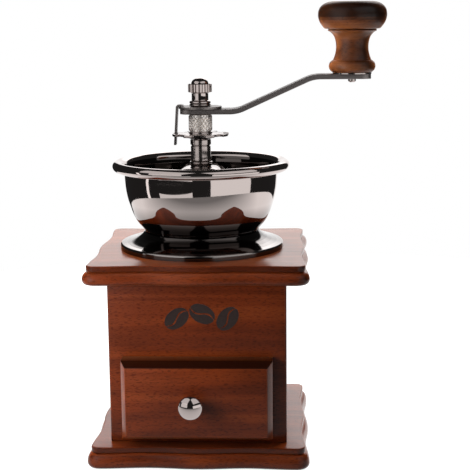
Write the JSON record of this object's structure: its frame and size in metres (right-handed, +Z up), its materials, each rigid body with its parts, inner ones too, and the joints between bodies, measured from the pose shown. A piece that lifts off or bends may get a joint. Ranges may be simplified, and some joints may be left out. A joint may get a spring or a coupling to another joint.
{
  "type": "hand-cranked coffee grinder",
  "caption": "Wooden box coffee grinder with an open metal bowl, a bent crank with a turned wooden knob, a burr set on a vertical shaft, and a drawer for the grounds.",
  "frame": {"origin": "centre of the underside of the base board, on the shaft axis", "axes": "+Z up along the shaft, -Y towards the drawer front, +X along the crank at rest"},
  "size_m": [0.1388, 0.1153, 0.2103],
  "materials": {
    "varnished_wood": "red-brown stained hardwood under a satin varnish",
    "plain_wood": "unstained light wood",
    "handle_wood": "turned dark brown wood under varnish",
    "chrome": "polished chrome plate",
    "steel": "nickel-plated steel",
    "zinc_steel": "zinc-plated steel",
    "spring_steel": "drawn spring steel",
    "cast_iron": "cast iron with ground teeth"
  },
  "bodies": {
    "case": {"base_board": "varnished_wood", "top_board": "varnished_wood", "front_panel": "varnished_wood", "back_panel": "varnished_wood", "left_side_panel": "varnished_wood", "right_side_panel": "varnished_wood", "left_runner": "plain_wood", "right_runner": "plain_wood", "base_screws": "zinc_steel", "flange_ring": "chrome", "hopper_bowl": "chrome", "bearing_bridge": "chrome", "bridge_rivets": "steel", "bearing_sleeve": "steel", "sleeve_ring": "steel", "outer_burr": "cast_iron", "clamp_screws": "zinc_steel", "burr_spring": "spring_steel"},
    "drawer": {"drawer_front": "varnished_wood", "drawer_left_side": "plain_wood", "drawer_right_side": "plain_wood", "drawer_back": "plain_wood", "drawer_bottom": "plain_wood", "drawer_knob": "chrome", "drawer_knob_screw": "zinc_steel"},
    "crank": {"crank_arm": "steel", "spring_washer": "steel", "cap_nut": "chrome", "knob_pin": "steel", "knob_washer": "steel"},
    "handle": {"handle_knob": "handle_wood"},
    "adjuster": {"adjusting_nut": "steel", "adjusting_disc": "steel", "lock_clip": "steel"},
    "spindle": {"drive_shaft": "steel", "inner_burr": "cast_iron", "spring_seat": "steel", "burr_nut": "steel"}
  },
  "joints": [
    {"name": "drawer_slide", "type": "slide", "parent": "case", "child": "drawer", "axis": [0, -1, 0], "range_m": [0, 0.055]},
    {"name": "crank_turn", "type": "hinge", "parent": "case", "child": "crank", "pos_m": [0, 0, 0.14], "axis": [0, 0, 1], "continuous": true},
    {"name": "knob_spin", "type": "hinge", "parent": "crank", "child": "handle", "pos_m": [0.0716, 0, 0.19], "axis": [0, 0, 1], "continuous": true},
    {"name": "adjust_turn", "type": "hinge", "parent": "crank", "child": "adjuster", "pos_m": [0, 0, 0.152], "axis": [0, 0, 1], "range_deg": [-120, 120]},
    {"name": "burr_lift", "type": "slide", "parent": "crank", "child": "spindle", "axis": [0, 0, 1], "range_m": [-0.000333, 0.000333], "deforming": ["burr_spring"]}
  ],
  "couplings": [
    {"joint": "adjust_turn", "follows": "burr_lift", "rad_per_m": -6283.2}
  ]
}
